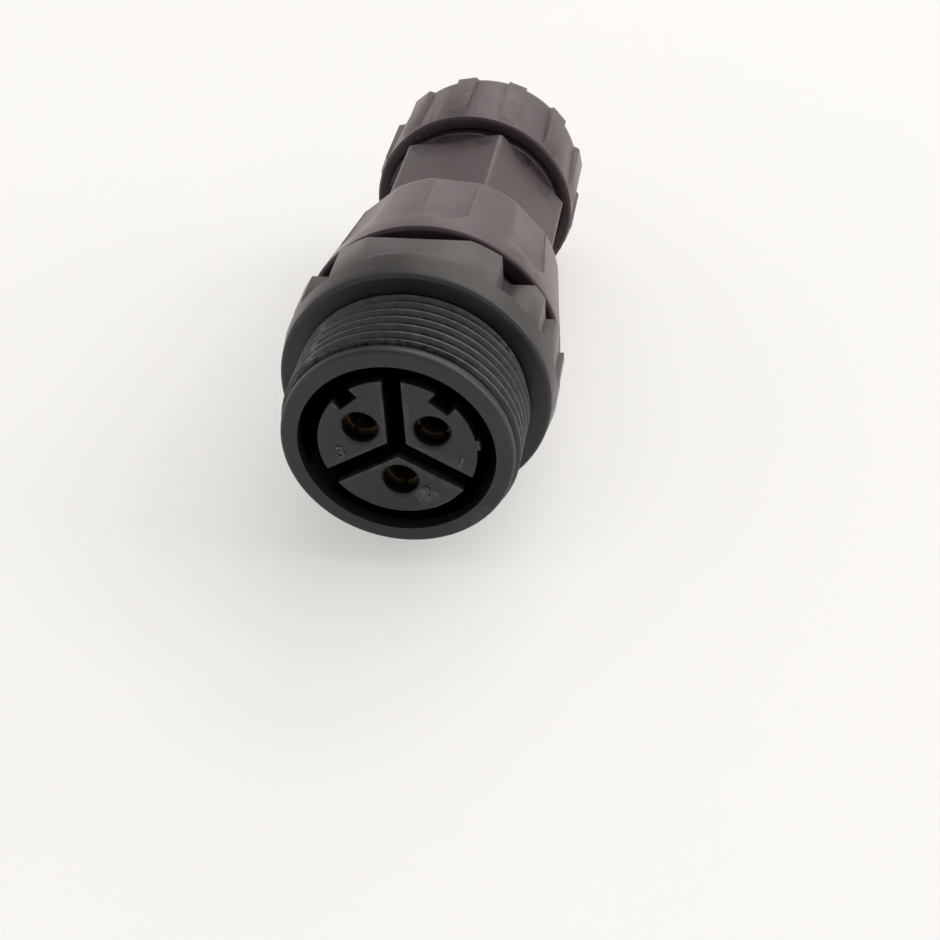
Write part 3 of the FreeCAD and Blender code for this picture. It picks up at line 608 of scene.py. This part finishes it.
by_slot = {
    "front_plastic": front_plastic, "rear_plastic": rear_plastic, "nut_plastic": nut_plastic,
    "insert_plastic": insert_plastic, "housing_plastic": housing_plastic,
    "claw_plastic": claw_plastic, "black_rubber": black_rubber, "contact_brass": brass,
    "spring_steel": spring_steel, "screw_steel": screw_steel,
}
for name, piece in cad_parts.items():
    dress(piece, by_slot[piece.data.materials[0].name.split(".")[0]])
print(len(by_slot), "materials on", len(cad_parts), "solids")

# %% [markdown]
# ## Floor
# Put down on its side, the connector rocks until two corners of its grip and a rib of the nut carry
# it. The floor is laid against the two lowest places that do that, so nothing hovers. The camera sees
# the paper a little brighter than the lamps make it, as a light table looks, and the shadow stays.

# %%
# Floor under the grip and the nut


def resting_line(points, middle):
    """The two lowest (y, z) points that a straight floor touches, one each side of the middle."""
    hull = []
    for point in sorted(points):
        while len(hull) > 1:
            (ay, az), (by, bz) = hull[-2], hull[-1]
            if (by - ay) * (point[1] - az) - (bz - az) * (point[0] - ay) > 0:
                break
            hull.pop()
        hull.append(point)
    for first, second in zip(hull, hull[1:]):
        if first[0] <= middle < second[0]:
            return first, second
    raise ValueError("nothing to rest on")


# The weight is near this place along the axis, so the two supports lie on either side of it.
MIDDLE = 22 * MM

lowest = {(round(v.co.y, 6), round(v.co.z, 6))
          for name in ("front_shell", "rear_shell", "gland_nut")
          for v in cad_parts[name].data.vertices if v.co.z < -10 * MM}
(y1, z1), (y2, z2) = resting_line(lowest, MIDDLE)
pitch = math.atan2(z2 - z1, y2 - y1)
print("rests at y = %.1f and %.1f mm, pitched %.1f degrees"
      % (y1 / MM, y2 / MM, math.degrees(pitch)))

# %%
# The floor's sheet and its paper
bm = bmesh.new()
bmesh.ops.create_grid(bm, x_segments=8, y_segments=8, size=1.6)
bm.transform(Matrix.Translation((0.0, y1, z1)) @ Matrix.Rotation(pitch, 4, "X"))
floor_mesh = bpy.data.meshes.new("floor")
bm.to_mesh(floor_mesh)
bm.free()
floor = collection_object("floor", floor_mesh)

# Matte paper, a shade off white. The camera sees it lifted, so that its shadow stays pale.
material, tree, shader, where = new_material("floor_paper")
soft = mix(tree, noise(tree, where, 60.0, 2.0), linear("#f4f2f0"), linear("#f7f4f2"))
tree.links.new(soft, shader.inputs["Base Color"])
shader.inputs["Roughness"].default_value = 0.9
shader.inputs["Specular IOR Level"].default_value = 0.1
bright = node(tree, "ShaderNodeEmission", {"Color": linear("#fbf9f6"), "Strength": 1.0})
seen = node(tree, "ShaderNodeLightPath").outputs["Is Camera Ray"]
lifted = node(tree, "ShaderNodeMixShader", {0: times(tree, seen, 0.4), 1: shader.outputs["BSDF"],
                                            2: bright.outputs["Emission"]})
tree.links.new(lifted.outputs[0], tree.nodes["Material Output"].inputs["Surface"])
dress(floor, material)

# %% [markdown]
# ## Light and camera
# A product table is lit softly from above and behind, so dark plastic shows its form by broad pale
# reflections, while faces towards the camera stay nearly black. Large area lights do that without
# hard shadows, and the world fills in from the sides.

# %%
# Soft light


def soft_light(name, place, size, watts, colour):
    """A large area light aimed at the connector."""
    data = bpy.data.lights.new(name, "AREA")
    data.shape = "RECTANGLE"
    data.size, data.size_y = size
    data.energy = watts
    data.color = linear(colour)[:3]
    lamp = bpy.data.objects.new(name, data)
    bpy.context.scene.collection.objects.link(lamp)
    lamp.location = place
    lamp.rotation_euler = (Vector((0, 0.02, 0)) - Vector(place)).to_track_quat("-Z", "Y").to_euler()
    return lamp


soft_light("back_softbox", (0.7, 1.9, 1.5), (2.4, 1.5), 22.0, "#fffefc")
soft_light("right_softbox", (2.0, 0.4, 1.1), (1.5, 2.0), 24.0, "#fffffe")
soft_light("top_softbox", (0.5, 0.3, 2.4), (2.0, 2.0), 8.0, "#fffffe")
print("three soft boxes: back, right and top")

# %%
# The room's pale light, stronger near the horizon, and white paper for the camera
world = bpy.data.worlds.new("studio")
bpy.context.scene.world = world
world.use_nodes = True
tree = world.node_tree
tree.nodes.clear()
rays = node(tree, "ShaderNodeLightPath")
upwards = node(tree, "ShaderNodeSeparateXYZ", {0: node(tree, "ShaderNodeTexCoord").outputs["Generated"]})
glow = band(tree, upwards.outputs["Z"], 0.0, 0.8, 1.0, 0.5)
room = node(tree, "ShaderNodeBackground", {"Color": linear("#fffefc"), "Strength": glow})
paper = node(tree, "ShaderNodeBackground", {"Color": linear("#fbf9f5"), "Strength": 1.0})
seen = node(tree, "ShaderNodeMixShader", {0: rays.outputs["Is Camera Ray"],
                                          1: room.outputs[0], 2: paper.outputs[0]})
node(tree, "ShaderNodeOutputWorld", {"Surface": seen.outputs[0]})

# %%
# Camera from the photograph's angle
RIGHT = Vector((0.9857, 0.1590, -0.0495))
UP = Vector((-0.0603, 0.6180, 0.7837))
FORWARD = Vector((-0.1549, 0.7700, -0.6197))
lens = bpy.data.cameras.new("camera")
lens.lens = 61.3
lens.sensor_width = 36.0
lens.clip_start = 0.01
camera = bpy.data.objects.new("camera", lens)
bpy.context.scene.collection.objects.link(camera)
turned = Matrix((RIGHT, UP, -FORWARD)).transposed().to_4x4()
camera.matrix_world = Matrix.Translation((0.03635, -0.1452, 0.1097)) @ turned
bpy.context.scene.camera = camera
bpy.context.scene.view_settings.view_transform = "Standard"
print("camera with a lens of %.1f mm" % lens.lens)
